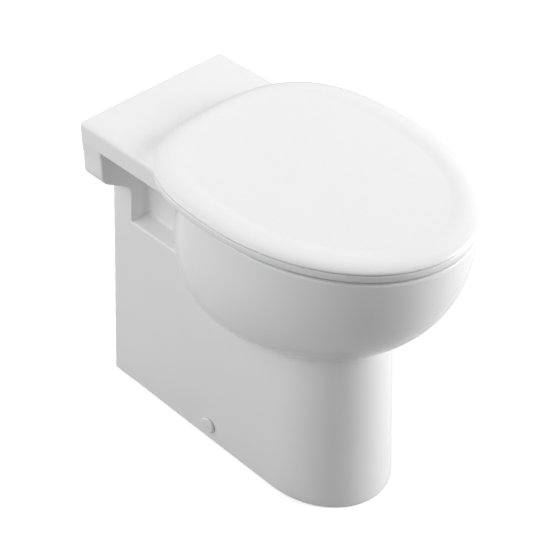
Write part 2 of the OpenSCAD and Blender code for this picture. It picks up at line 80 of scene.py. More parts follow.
# Lid
LID_Z = 516.5
LID_TOP = 524.5
LID_EDGE = 1.0
LID_ROLL = 25.0
LID_SQUARE = 2.8
LID_DISH = 1.5
LID_DISH_WIDE = 18.0
LID_PLATE = 3.5
LID_REAR = 125.0
LID_UNDER = LID_TOP - LID_DISH - LID_PLATE
LID_BASE = ((LID_UNDER, 9.0), (LID_UNDER - 0.6, 7.0), (LID_Z, 5.0), (LID_Z, 0.8))  # height, inset

# Hinges
AXIS_BACK = 137.0
AXIS_Z = 514.5
BOLT_X = 77.5
BLADE_X = 66.0
BLADE_T = 4.0
BARREL_R = 6.0
BARREL_L = 14.0
BARREL_GAP = 0.8
BUSH_R = 4.25
SWING = 0.6
ARM_REACH = 20.0
ARM_DROP = 0.5
SEAT_BARREL_X = BLADE_X + BLADE_T + BARREL_GAP
LID_BARREL_X = BLADE_X - BARREL_GAP - BARREL_L

# Bowl, outside
BOWL_HALF = 178.0
BOWL_FRONT = 576.0
BOWL_REAR = 127.0
BOWL_MID = 349.0
BOWL_BOTTOM = 208.0
BOWL_LEAN = 122.0
LEAN_BEND = 2.11
SIDE_BEND, SIDE_FALL = 2.92, 0.68
FRONT_BEND, FRONT_FALL = 3, 0.56
REAR_BEND = 3.87
RIM_ROUND = 2.5
RIM_BAND = 8.0
BOWL_TOP = RIM_Z - RIM_BAND
BOWL_DEPTH = BOWL_TOP - BOWL_BOTTOM
BOWL_STEPS = [0.985, 0.97, 0.95, 0.92, 0.88, 0.84, 0.8] + [0.75 - 0.05 * k for k in range(15)] + [0]

# Bowl, inside
MOUTH_HALF = 128.0
MOUTH_FRONT = 528.0
MOUTH_REAR = 196.0
MOUTH_ROUND = 6.0
LIP_BOTTOM = 453.0
LIP_T = 10.0
RIM_T = 17.0
CHANNEL_EASE = 6.0
WASH_HALF = BOWL_HALF - WALL - 2
WASH_FRONT = BOWL_FRONT - WALL
WASH_REAR = BOWL_REAR + 28
WASH_SIDE_BEND, WASH_REAR_BEND = 1.5, 1.2
WASH_STEPS = [1, 0.97, 0.93] + [0.88 - 0.08 * k for k in range(12)]
SUMP_SHARE = 0.24

# Skirt, deck and apron
FOOT_HALF = 100.5
FOOT_EASE = 1.5
TAPER = 0.049
STRAIGHT = 364.0
FOOT_REACH = 121.0
TOE_TAPER = 0.06
SKIRT_TOP = 365.0
HOLLOW_TOP = 291.0
REAR_ROUND = 2.5
DECK_CORNER = 2.5
DECK_ROUND = 7.0
DECK_UNDER_ROUND = 3.0
DECK_REAR_EASE = 0.4
DECK_FRONT = BOWL_MID - 120
APRON_D = 42.0
APRON_INSET = 2.0
APRON_ROUND = 2.5
HAUNCH_FOOT, HAUNCH_RISE, HAUNCH_CORNER = 362.0, 5.0, 419.0
HAUNCH_IN, HAUNCH_OUT = 14.0, 22.0
HAUNCH_IN_TO, HAUNCH_OUT_FROM = 117, -58  # degrees
FLARE = ((0.0, -16.0), (0.8, -8.0), (1.7, 1.0))  # out from the side, height over DECK_UNDER
HAUNCH_INSIDE = ((0.0, 340.0), (2.0, 372.0))  # out from the skirt's inside, height
APRON_INSIDE = ((-20.0, 402.0), (0.0, 422.0))  # out from the apron's inside, height

# Neck and side pockets
NECK_HALF = 53.0
NECK_CEILING = 448.0
POCKET_Z = 314.0
POCKET_FALL = 1.0
POCKET_ROUND = 2.0
POCKET_END = 150.0
POCKET_OUT = 280.0

# Trapway, inlet and spigot
TRAP_R = 29.0
TRAP_BEND = 41.0
TRAP_LEG = math.radians(80.0)
TRAP_LEAD, TRAP_LEAD_BACK = 12.0, 1.0
OUTLET_BACK, OUTLET_Z = 118.0, 180.0
CROWN_Z = 267.0
DIP_Z = 159.0
THROAT_SHIFT = 2.5
SPIGOT_R, SPIGOT_WALL = 51.0, 9.0
SPIGOT_BACK, SPIGOT_L, SPIGOT_LEAD = 70.0, 47.0, 8.0
INLET_Z = 409.0
INLET_R, INLET_WALL = 28.0, 8.0
INLET_END, INLET_INTO = 50.0, 60.0

# Holes for fixings
HINGE_SEAT_Z, HINGE_SEAT_R, HINGE_SEAT_L = 494.0, 17.5, 8.0
NUT_R, NUT_DEEP = 17.0, 62.0
BOLT_HOLE_R, BOLT_HOLE_START, BOLT_HOLE_L = 6.5, 2.0, 37.0
FIX_BACK, FIX_Z = 224.0, 28.0
FIX_R, FIX_REACH = 7.5, 120.0

# China's skin
FILLET_FULL, FILLET_END, FILLET_TOP = 4.0, 12.0, 352.0
FILLET_LEVELS, FILLET_PASSES = 8, 40
SKIN_CELL, QUICK_CELL = 0.00175, 0.004
SKIN_PASSES = 3
SKIN_TRIANGLES = 190000

# Points and steps on round forms
RING_POINTS = 160
NOSE_STEPS = 60
TUBE_POINTS = 40
ROD_POINTS = 64
PAD_POINTS = 32
BEND_STEPS = 8
SUMP_STEPS = 8
CORNER_STEPS = 8
ROLL_STEPS = 16
DISH_STEPS = 10

SHARPEST = math.radians(35.0)
WELD = 1e-6


def place(x, y, z):
    """A point given from the wall plane and the floor, in the frame."""
    return Vector((x, y + PROJECTION / 2, z)) / 1000.0


# ---------------------------------------------------------------- outlines


def power(value, exponent):
    return math.copysign(abs(value) ** exponent, value)


def oval(half, mid, front, rear, z, square=2.0):
    """Egg-shaped ring; square above 2 squares the rear corners."""
    ring = []
    for i in range(RING_POINTS):
        turn = 2 * math.pi * i / RING_POINTS
        across, along = math.cos(turn), math.sin(turn)
        bend = 2.0 / square if along > 0 else 1.0
        reach = (mid - rear) if along > 0 else (front - mid)
        ring.append((half * power(across, bend), -mid + reach * power(along, bend), z))
    return ring


def rounded(radius, steps):
    """Quarter round as (inset, rise) from the side to the face."""
    turns = [math.pi / 2 * k / steps for k in range(steps + 1)]
    return [(radius * (1 - math.cos(t)), radius * math.sin(t)) for t in turns]


def arc(centre, radius, start, end, steps=8):
    """Points on a round stretch, with angles in degrees."""
    turns = [math.radians(start + (end - start) * k / steps) for k in range(steps + 1)]
    return [(centre[0] + radius * math.cos(t), centre[1] + radius * math.sin(t)) for t in turns]


def half_mirror(points):
    """Closed outline from its right half, which starts and ends on the centre line."""
    return points + [(-x, z) for x, z in reversed(points) if x > 0.01]


def skirt_half(z):
    return FOOT_HALF - TAPER * z


def bowl_shape(u):
    """Half width, middle, front and rear of the bowl, for u from 0 at its top to 1 at its bottom."""
    mid = BOWL_MID - BOWL_LEAN * u**LEAN_BEND
    half = BOWL_HALF * (1 - u**SIDE_BEND) ** SIDE_FALL
    front = mid + (BOWL_FRONT - BOWL_MID) * (1 - u**FRONT_BEND) ** FRONT_FALL
    rear = mid - (BOWL_MID - BOWL_REAR) * (1 - u**REAR_BEND)
    return half, mid, front, rear


def bowl_ring(z, inset=0.0):
    half, mid, front, rear = bowl_shape(min(1.0, max(0.0, (BOWL_TOP - z) / BOWL_DEPTH)))
    return oval(half - inset, mid, front - inset, rear + inset, z)


THROAT_Z = DIP_Z + TRAP_BEND
REACH = TRAP_BEND * math.sin(TRAP_LEG)


def leg_run(top, low):
    """How far a straight leg of the trapway runs back between its two bends."""
    return max(0.0, top - low - 2 * TRAP_BEND * (1 - math.cos(TRAP_LEG))) / math.tan(TRAP_LEG)


CROWN_BACK = OUTLET_BACK + 2 * REACH + leg_run(CROWN_Z, OUTLET_Z)
DIP_BACK = CROWN_BACK + 2 * REACH + leg_run(CROWN_Z, DIP_Z)
THROAT_BACK = DIP_BACK + REACH + THROAT_SHIFT


def wash_ring(z, grow=0.0):
    """The washed bowl's outline, from the channel under the rim down to the throat."""
    s = min(1.0, max(0.0, (LIP_BOTTOM - z) / (LIP_BOTTOM - THROAT_Z)))
    mid = BOWL_MID + (THROAT_BACK - BOWL_MID) * s
    half = TRAP_R + (WASH_HALF - TRAP_R) * (1 - s**WASH_SIDE_BEND)
    front = THROAT_BACK + TRAP_R + (WASH_FRONT - THROAT_BACK - TRAP_R) * (1 - s)
    rear = THROAT_BACK - TRAP_R - (THROAT_BACK - TRAP_R - WASH_REAR) * (1 - s**WASH_REAR_BEND)
    return oval(half + grow, mid, front + grow, rear - grow, z)


def mouth_ring(z, grow=0.0):
    return oval(MOUTH_HALF + grow, BOWL_MID, MOUTH_FRONT + grow, MOUTH_REAR - grow, z)


def skirt_ring(z, inset=0.0, back=0.0):
    half = skirt_half(z) - inset
    reach = FOOT_REACH - TOE_TAPER * z - inset
    turns = [math.pi * k / NOSE_STEPS for k in range(NOSE_STEPS + 1)]
    nose = [(-half * math.cos(t), -STRAIGHT - reach * math.sin(t), z) for t in turns]
    edge = rounded(REAR_ROUND, 4)
    corner = [(half - inside, back - REAR_ROUND + out, z) for inside, out in edge]
    return corner + [(-x, y, z) for x, y, z in reversed(corner)] + nose


def deck_ring(z, inset):
    half, rear = DECK_HALF - inset, -inset * DECK_REAR_EASE - DECK_CORNER
    turns = [math.pi / 2 * k / CORNER_STEPS for k in range(CORNER_STEPS + 1)]
    corner = half - DECK_CORNER
    right = [
        (corner + DECK_CORNER * math.cos(t), rear + DECK_CORNER * math.sin(t), z) for t in turns
    ]
    left = [(-x, y, z) for x, y, z in reversed(right)]
    return right + left + [(-half, -DECK_FRONT, z), (half, -DECK_FRONT, z)]


def seat_line(z, inset):
    return oval(SEAT_HALF - inset, SEAT_MID, PROJECTION - inset, SEAT_REAR + inset, z, SEAT_SQUARE)


def lid_line(z, inset):
    """The lid's rear corners are rounder than the seat's, so the seat shows beside them."""
    return oval(SEAT_HALF - inset, SEAT_MID, PROJECTION - inset, LID_REAR + inset, z, LID_SQUARE)


def hole_ring(z, grow):
    half, front = SEAT_HALF - RING_SIDE, PROJECTION - RING_FRONT
    return oval(half + grow, BOWL_MID, front + grow, HOLE_REAR - grow, z)


def trap_places():
    """Centre line of the trapway as (y, z, direction of travel)."""

    def valley(back, z, a):
        return (-back + TRAP_BEND * math.sin(a), z + TRAP_BEND * (1 - math.cos(a)), a)

    def hill(back, z, a):
        return (-back - TRAP_BEND * math.sin(a), z - TRAP_BEND * (1 - math.cos(a)), a)

    turns = [TRAP_LEG * (k / BEND_STEPS - 1) for k in range(2 * BEND_STEPS + 1)]
    line = [(-THROAT_BACK - TRAP_LEAD_BACK, THROAT_Z + TRAP_LEAD, -TRAP_LEG)]
    line += [valley(DIP_BACK, DIP_Z, a) for a in turns]
    line += [hill(CROWN_BACK, CROWN_Z, -a) for a in turns]
    line += [valley(OUTLET_BACK, OUTLET_Z, a) for a in turns[: BEND_STEPS + 1]]
    return line + [(-OUTLET_BACK + TRAP_LEAD, OUTLET_Z, 0.0)]


def tube_ring(spot, radius):
    y, z, a = spot
    ring = []
    for i in range(TUBE_POINTS):
        t = 2 * math.pi * i / TUBE_POINTS
        lift = radius * math.sin(t)
        ring.append((radius * math.cos(t), y + lift * math.sin(a), z - lift * math.cos(a)))
    return ring


def apron_outline(inset):
    """The apron from behind: skirt's side, hollow haunch, rounded corner, flared top."""
    half = DECK_HALF - APRON_INSET - inset
    foot = skirt_half(HAUNCH_FOOT) - inset
    side = [(0, 0), (FOOT_HALF - inset, 0), (foot, HAUNCH_FOOT)]
    hollow_centre = (foot + HAUNCH_IN, HAUNCH_FOOT + HAUNCH_RISE)
    hollow = arc(hollow_centre, HAUNCH_IN, 180, HAUNCH_IN_TO)
    corner_centre = (half - HAUNCH_OUT, HAUNCH_CORNER)
    corner = arc(corner_centre, HAUNCH_OUT - inset / 2, HAUNCH_OUT_FROM, 0)
    flare = [(half + out, DECK_UNDER + up) for out, up in FLARE]
    return half_mirror(side + hollow + corner + flare + [(0, DECK_UNDER + PAST)])


def apron_hollow_outline():
    half = DECK_HALF - APRON_INSET - WALL
    foot = skirt_half(HAUNCH_INSIDE[0][1]) - WALL
    ceiling = DECK_UNDER - WALL + PAST
    points = [(0, PAST), (FOOT_HALF - WALL, PAST)]
    points += [(foot + out, z) for out, z in HAUNCH_INSIDE]
    points += [(half + out, z) for out, z in APRON_INSIDE]
    return half_mirror(points + [(half, ceiling), (0, ceiling)])


def pocket_outline():
    low = POCKET_Z - POCKET_FALL - POCKET_ROUND
    lip = arc((skirt_half(low) - POCKET_ROUND, low), POCKET_ROUND, 90, 0, 15)
    beyond = [(POCKET_OUT, low), (POCKET_OUT, DECK_UNDER)]
    return [(NECK_HALF, POCKET_Z)] + lip + beyond + [(NECK_HALF, DECK_UNDER)]


# ---------------------------------------------------------------- mesh helpers


def finished(bm, name):
    bmesh.ops.remove_doubles(bm, verts=bm.verts, dist=WELD)
    bmesh.ops.recalc_face_normals(bm, faces=bm.faces)
    mesh = bpy.data.meshes.new(name)
    bm.to_mesh(mesh)
    bm.free()
    obj = bpy.data.objects.new(name, mesh)
    bpy.context.scene.collection.objects.link(obj)
    return obj


def skinned(name, rings, hoop=False):
    """Skin over closed rings of equal count: capped at both ends, or joined last to first."""
    bm = bmesh.new()
    row = bmesh.ops.create_circle(bm, segments=len(rings[0]), radius=1.0)["verts"]
    for vert, point in zip(row, rings[0]):
        vert.co = place(*point)
    first = [bm.edges.get((row[i - 1], row[i])) for i in range(len(row))]
    edges = first
    for ring in rings[1:]:
        made = bmesh.ops.extrude_edge_only(bm, edges=edges)
        fresh = {v for v in made["geom"] if isinstance(v, bmesh.types.BMVert)}
        row = [next(e.other_vert(v) for e in v.link_edges if e.other_vert(v) in fresh) for v in row]
        for vert, point in zip(row, ring):
            vert.co = place(*point)
        edges = [bm.edges.get((row[i - 1], row[i])) for i in range(len(row))]
    if hoop:
        bmesh.ops.bridge_loops(bm, edges=first + edges)
    else:
        bmesh.ops.edgeloop_fill(bm, edges=first)
        bmesh.ops.edgeloop_fill(bm, edges=edges)
    return finished(bm, name)


def rod(name, axis, centre, radius, length):
    """Solid rod that starts at centre and runs length along +x, +y or +z."""
    bm = bmesh.new()
    bmesh.ops.create_cone(
        bm,
        cap_ends=True,
        segments=ROD_POINTS,
        radius1=radius / 1000.0,
        radius2=radius / 1000.0,
        depth=length / 1000.0,
    )
    turn = {
        "x": Matrix.Rotation(math.pi / 2, 4, "Y"),
        "y": Matrix.Rotation(-math.pi / 2, 4, "X"),
        "z": Matrix.Identity(4),
    }[axis]
    along = Vector((axis == "x", axis == "y", axis == "z")) * (length / 2000.0)
    shift = Matrix.Translation(place(*centre) + along)
    bmesh.ops.transform(bm, matrix=shift @ turn, verts=bm.verts)
    return finished(bm, name)


def block(name, low, high):
    bm = bmesh.new()
    bmesh.ops.create_cube(bm, size=1.0)
    a, b = place(*low), place(*high)
    bmesh.ops.scale(bm, vec=b - a, verts=bm.verts)
    bmesh.ops.translate(bm, vec=(a + b) / 2, verts=bm.verts)
    return finished(bm, name)


def rear_prism(name, sections):
    """Solid through outlines of (x, z) points, each given with its distance from the wall."""
    return skinned(name, [[(x, -d, z) for x, z in outline] for d, outline in sections])


def mirrored(obj):
    """Copy of obj on the other side of the centre plane."""
    bm = bmesh.new()
    bm.from_mesh(obj.data)
    bmesh.ops.scale(bm, vec=(-1, 1, 1), verts=bm.verts)
    return finished(bm, obj.name + "_mirrored")


def both_sides(piece):
    return [mirrored(piece), piece]


def settle(obj):
    """Applies the modifiers of obj to its mesh."""
    seen = obj.evaluated_get(bpy.context.evaluated_depsgraph_get())
    mesh = bpy.data.meshes.new_from_object(seen)
    obj.modifiers.clear()
    obj.data = mesh
    return obj


def shade(obj):
    """Smooth shading that keeps every edge sharper than SHARPEST."""
    bm = bmesh.new()
    bm.from_mesh(obj.data)
    for face in bm.faces:
        face.smooth = True
    for edge in bm.edges:
        edge.smooth = len(edge.link_faces) == 2 and edge.calc_face_angle() < SHARPEST
    bm.to_mesh(obj.data)
    bm.free()


def combine(obj, how, tools):
    """Adds, cuts or keeps the tools' solids, one after the other, and drops the tools."""
    for tool in tools:
        step = obj.modifiers.new(how, "BOOLEAN")
        step.operation = how
        step.solver = "MANIFOLD"
        step.object = tool
    settle(obj)
    for tool in tools:
        bpy.data.objects.remove(tool)
    return obj


# ---------------------------------------------------------------- china


def build_skirt():
    """Hollow skirt with the apron behind it, the neck up to the deck and the two side pockets."""
    rings = [skirt_ring(0, FOOT_EASE), skirt_ring(FOOT_EASE), skirt_ring(SKIRT_TOP)]
    skirt = skinned("china_pan", rings)
    edge = reversed(rounded(APRON_ROUND, 5))
    apron = [(APRON_D - APRON_ROUND + out, apron_outline(inset)) for inset, out in edge]
    neck_low, neck_high = (-NECK_HALF, -POCKET_END, HOLLOW_TOP), (NECK_HALF, 0, DECK_UNDER + PAST)
    combine(skirt, "UNION", [
        rear_prism("apron", apron + [(0, apron_outline(0))]),
        block("neck", neck_low, neck_high),
    ])
    pocket = rear_prism("pocket", [(depth, pocket_outline()) for depth in (POCKET_END, APRON_D)])
    apron_back = [(depth, apron_hollow_outline()) for depth in (APRON_D - WALL, -PAST)]
    room_low = (WALL - NECK_HALF, -POCKET_END - WALL, HOLLOW_TOP - PAST)
    room_high = (NECK_HALF - WALL, PAST, NECK_CEILING)
    combine(skirt, "DIFFERENCE", both_sides(pocket) + [
        skinned("hollow", [skirt_ring(-PAST, WALL, PAST), skirt_ring(HOLLOW_TOP, WALL, PAST)]),
        rear_prism("apron_hollow", apron_back),
        block("neck_hollow", room_low, room_high),
    ])
    return skirt


def build_sump():
    """The washed bowl's lowest part, kept inside the skirt."""
    rise = SUMP_SHARE * (LIP_BOTTOM - THROAT_Z)
    heights = [THROAT_Z + rise * k / SUMP_STEPS for k in range(SUMP_STEPS + 1)]
    sump = skinned("sump", [wash_ring(z, WALL - PAST) for z in heights])
    inside = skinned("skirt_inside", [skirt_ring(0, PAST), skirt_ring(RIM_Z, PAST)])
    return combine(sump, "INTERSECT", [inside])


def outer_forms():
    """The solids that join the skirt: deck, bowl, sump, trapway, inlet and spigot."""
    under = reversed(rounded(DECK_UNDER_ROUND, 4))
    deck = [deck_ring(DECK_UNDER + DECK_UNDER_ROUND - up, inset) for inset, up in under]
    deck += [deck_ring(DECK_Z - DECK_ROUND + up, inset) for inset, up in rounded(DECK_ROUND, 8)]
    bowl = [bowl_ring(BOWL_TOP - BOWL_DEPTH * u) for u in BOWL_STEPS]
    bowl += [bowl_ring(RIM_Z - RIM_ROUND + up, inset) for inset, up in rounded(RIM_ROUND, 8)]
    trapway = [tube_ring(spot, TRAP_R + WALL - PAST) for spot in trap_places()]
    inlet_l = BOWL_REAR + WALL - INLET_END
    spigot_start = (0, -SPIGOT_BACK - SPIGOT_L, OUTLET_Z)
    return [
        skinned("deck", deck),
        skinned("bowl", bowl),
        build_sump(),
        skinned("trapway", trapway),
        rod("inlet", "y", (0, -BOWL_REAR - WALL, INLET_Z), INLET_R + INLET_WALL, inlet_l),
        rod("spigot", "y", spigot_start, SPIGOT_R, SPIGOT_L),
    ]


def inner_forms():
    """The solids cut away: mouth, washed bowl, rim channel, trapway's bore and the other bores."""
    mouth = [mouth_ring(LIP_BOTTOM - PAST), mouth_ring(RIM_Z - MOUTH_ROUND)]
    lip_edge = rounded(MOUTH_ROUND, 6)[1:]
    mouth += [mouth_ring(RIM_Z - MOUTH_ROUND + up, inset) for inset, up in lip_edge]
    mouth.append(mouth_ring(RIM_Z + PAST, MOUTH_ROUND))
    span = LIP_BOTTOM - THROAT_Z
    channel = skinned("channel", [
        wash_ring(LIP_BOTTOM - PAST),
        wash_ring(RIM_Z - RIM_T - CHANNEL_EASE),
        wash_ring(RIM_Z - RIM_T, -CHANNEL_EASE),
    ])
    lip = skinned("lip", [mouth_ring(LIP_BOTTOM - 2 * PAST, LIP_T), mouth_ring(RIM_Z, LIP_T)])
    combine(channel, "DIFFERENCE", [lip])
    inlet_start = (0, -BOWL_REAR - INLET_INTO, INLET_Z)
    inlet_l = BOWL_REAR + INLET_INTO - INLET_END + PAST
    spigot_start = (0, -SPIGOT_BACK - SPIGOT_L + SPIGOT_LEAD, OUTLET_Z)
    cuts = [
        skinned("mouth", mouth),
        skinned("washed", [wash_ring(LIP_BOTTOM - span * s) for s in WASH_STEPS]),
        channel,
        skinned("trap_bore", [tube_ring(spot, TRAP_R) for spot in trap_places()]),
        rod("inlet_bore", "y", inlet_start, INLET_R, inlet_l),
        rod("spigot_bore", "y", spigot_start, SPIGOT_R - SPIGOT_WALL, SPIGOT_L),
    ]
    for x in (-BOLT_X, BOLT_X):
        hole_start = DECK_UNDER - BOLT_HOLE_START
        cuts += [
            rod("hinge_seat", "z", (x, -AXIS_BACK, HINGE_SEAT_Z), HINGE_SEAT_R, HINGE_SEAT_L),
            rod("nut_access", "z", (x, -AXIS_BACK, DECK_UNDER - NUT_DEEP), NUT_R, NUT_DEEP),
            rod("bolt_hole", "z", (x, -AXIS_BACK, hole_start), BOLT_HOLE_R, BOLT_HOLE_L),
        ]
    return cuts + [rod("side_hole", "x", (-FIX_REACH, -FIX_BACK, FIX_Z), FIX_R, 2 * FIX_REACH)]


def off_oval(x, y, half, mid, front, rear):
    """Rough distance of points outside an oval, negative inside."""
    along = -y - mid
    reach = np.where(along > 0, front - mid, mid - rear)
    return (np.hypot(x / half, along / reach) - 1) * np.minimum(half, reach)


def off_bowl(x, y, z):
    """Rough level distance of points outside the bowl; its very bottom is left out."""
    u = np.clip((BOWL_TOP - z) / BOWL_DEPTH, 0, 0.99)
    return off_oval(x, y, *bowl_shape(u))


def fillet_weights(pan):
    """Vertex group that is 1 where the bowl meets the skirt and fades out a fillet's width away."""
    spots = np.empty(3 * len(pan.data.vertices))
    pan.data.vertices.foreach_get("co", spots)
    x, y, z = spots.reshape(-1, 3).T * 1000.0
    y = y - PROJECTION / 2
    slope = off_bowl(x, y, z - 1) - off_bowl(x, y, z)
    from_bowl = off_bowl(x, y, z) / np.hypot(1, slope)
    half, reach = skirt_half(z), FOOT_REACH - TOE_TAPER * z
    from_skirt = off_oval(x, y, half, STRAIGHT, STRAIGHT + reach, STRAIGHT - reach)
    from_skirt = np.where(-y < STRAIGHT, np.abs(x) - half, from_skirt)
    away = np.hypot(from_bowl, from_skirt)
    weight = np.clip((FILLET_END - away) / (FILLET_END - FILLET_FULL), 0, 1)
    weight[(z > FILLET_TOP) | (z < BOWL_BOTTOM)] = 0
    group = pan.vertex_groups.new(name="fillet")
    for level in range(1, FILLET_LEVELS + 1):
        near = np.nonzero(np.ceil(weight * FILLET_LEVELS) == level)[0]
        group.add(near.tolist(), level / FILLET_LEVELS, "REPLACE")


def soften(obj, passes, group=""):
    """Adds a modifier that evens the surface out, everywhere or where the group says."""
    soft = obj.modifiers.new("soft", "SMOOTH")
    soft.factor = 0.5
    soft.iterations = passes
    soft.vertex_group = group


def smooth_china(pan, cell):
    """Even skin whose edges are softly rounded, as under a glaze."""
    even = pan.modifiers.new("even", "REMESH")
    even.mode = "VOXEL"
    even.voxel_size = cell
    soften(pan, SKIN_PASSES)
    settle(pan)
    fillet_weights(pan)
    soften(pan, FILLET_PASSES, "fillet")
    settle(pan)
    pan.vertex_groups.clear()
    fine = pan.data
    fine.shade_smooth()
    count = sum(len(p.vertices) - 2 for p in fine.polygons)
    if count > SKIN_TRIANGLES:
        source = bpy.data.objects.new("fine_skin", fine.copy())
        bpy.context.scene.collection.objects.link(source)
        fewer = pan.modifiers.new("fewer", "DECIMATE")
        fewer.ratio = SKIN_TRIANGLES / count
        settle(pan)
        normals = pan.modifiers.new("normals", "DATA_TRANSFER")
        normals.object = source
        normals.use_loop_data = True
        normals.data_types_loops = {"CUSTOM_NORMAL"}
        normals.loop_mapping = "POLYINTERP_NEAREST"
        pan.data.shade_smooth()
        settle(pan)
        bpy.data.objects.remove(source)


china = build_skirt()
combine(china, "UNION", outer_forms())
combine(china, "DIFFERENCE", inner_forms())
smooth_china(china, SKIN_CELL)
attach(china, "china")
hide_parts("pan")

# ---------------------------------------------------------------- seat and lid


def build_seat():
    rings = [seat_line(SEAT_Z + up, inset) for up, inset in SEAT_FOOT]
    rings += [seat_line(SEAT_TOP - SEAT_EDGE + up, inset) for inset, up in rounded(SEAT_EDGE, 6)]
    hole_edge = reversed(rounded(HOLE_ROUND, 6))
    rings += [hole_ring(SEAT_TOP - HOLE_ROUND + up, grow) for grow, up in hole_edge]
    rings += [hole_ring(SEAT_Z + up, grow) for up, grow in HOLE_FOOT]
    seat = skinned("seat_skin", rings, hoop=True)
    notch_x = BOLT_X + NOTCH_SIDE
    notch_low = (-notch_x, -AXIS_BACK - NOTCH_FRONT, SEAT_Z - PAST)
    combine(seat, "DIFFERENCE", [block("notch", notch_low, (notch_x, 0, SEAT_TOP + PAST))])
    barrel = (SEAT_BARREL_X, -AXIS_BACK, AXIS_Z)
    arm_low = (SEAT_BARREL_X, -AXIS_BACK - ARM_REACH, AXIS_Z - BARREL_R)
    arm_high = (SEAT_BARREL_X + BARREL_L, -AXIS_BACK, SEAT_TOP - ARM_DROP)
    bore = (SEAT_BARREL_X - PAST, -AXIS_BACK, AXIS_Z)
    bore_l = BARREL_L + 2 * PAST
    combine(seat, "UNION", both_sides(rod("seat_barrel", "x", barrel, BARREL_R, BARREL_L)))
    combine(seat, "UNION", both_sides(block("seat_arm", arm_low, arm_high)))
    combine(seat, "DIFFERENCE", both_sides(rod("seat_bore", "x", bore, BUSH_R, bore_l)))
    shade(seat)
    return seat


def build_lid():
    rings = [lid_line(z, inset) for z, inset in LID_BASE]
    for k in range(ROLL_STEPS + 1):
        turn = math.pi / 2 * k / ROLL_STEPS
        rise = LID_EDGE + (LID_TOP - LID_Z - LID_EDGE) * math.sin(turn)
        rings.append(lid_line(LID_Z + rise, LID_ROLL * (1 - math.cos(turn))))
    for k in range(1, DISH_STEPS + 1):
        s = k / DISH_STEPS
        drop = LID_DISH * s * s * (3 - 2 * s)
        rings.append(lid_line(LID_TOP - drop, LID_ROLL + LID_DISH_WIDE * s))
    lid = skinned("lid_skin", rings)
    barrel = (LID_BARREL_X, -AXIS_BACK, AXIS_Z)
    cheek_low = (LID_BARREL_X, -AXIS_BACK - BARREL_R, AXIS_Z)
    cheek_high = (LID_BARREL_X + BARREL_L, -AXIS_BACK + BARREL_R, LID_UNDER + PAST)
    bore = (LID_BARREL_X - PAST, -AXIS_BACK, AXIS_Z)
    bore_l = BARREL_L + 2 * PAST
    room_r = BARREL_R + SWING
    room = (LID_BARREL_X + BARREL_L, -AXIS_BACK, AXIS_Z)
    room_l = BLADE_T + 2 * BARREL_GAP + BARREL_L + SWING
    slit_low = (BLADE_X - SWING, -AXIS_BACK - room_r, AXIS_Z - room_r)
    slit_high = (BLADE_X + BLADE_T + SWING, -LID_REAR + 2 * PAST, AXIS_Z + room_r)
    combine(lid, "UNION", both_sides(rod("lid_barrel", "x", barrel, BARREL_R, BARREL_L)))
    combine(lid, "UNION", both_sides(block("lid_cheek", cheek_low, cheek_high)))
    combine(lid, "DIFFERENCE", both_sides(rod("lid_bore", "x", bore, BUSH_R, bore_l)))
    combine(lid, "DIFFERENCE", both_sides(rod("room", "x", room, room_r, room_l)))
    combine(lid, "DIFFERENCE", both_sides(block("slit", slit_low, slit_high)))
    shade(lid)
    return lid


def disc_ring(x, y, z, radius):
    turns = [2 * math.pi * k / PAD_POINTS for k in range(PAD_POINTS)]
    return [(x + radius * math.cos(t), radius * math.sin(t) - y, z) for t in turns]


def build_pads():
    """Soft pads under the seat, one piece of four domed discs."""
    pads = []
    for x, y in PAD_PLACES:
        for side in (-x, x):
            rings = [disc_ring(side, y, RIM_Z + PAD_FIT + up, r) for r, up in PAD_PROFILE]
            pads.append(skinned("seat_pad", rings))
    pad_set = combine(pads[0], "UNION", pads[1:])
    pad_set.name = "seat_pads"
    shade(pad_set)
    return pad_set


seat_skin = build_seat()
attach(seat_skin, "seat")
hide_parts("seat_ring")
seat_pads = build_pads()
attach(seat_pads, "seat")
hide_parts("seat_buffers")
lid_skin = build_lid()
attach(lid_skin, "cover")
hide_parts("lid")

# ---------------------------------------------------------------- materials


def new_group(name, inputs, outputs):
    group = bpy.data.node_groups.new(name, "ShaderNodeTree")
    for label, kind, value in inputs:
        socket = group.interface.new_socket(label, in_out="INPUT", socket_type=kind)
        socket.default_value = value
    for label, kind in outputs:
        group.interface.new_socket(label, in_out="OUTPUT", socket_type=kind)
    return group, group.nodes.new("NodeGroupInput"), group.nodes.new("NodeGroupOutput")


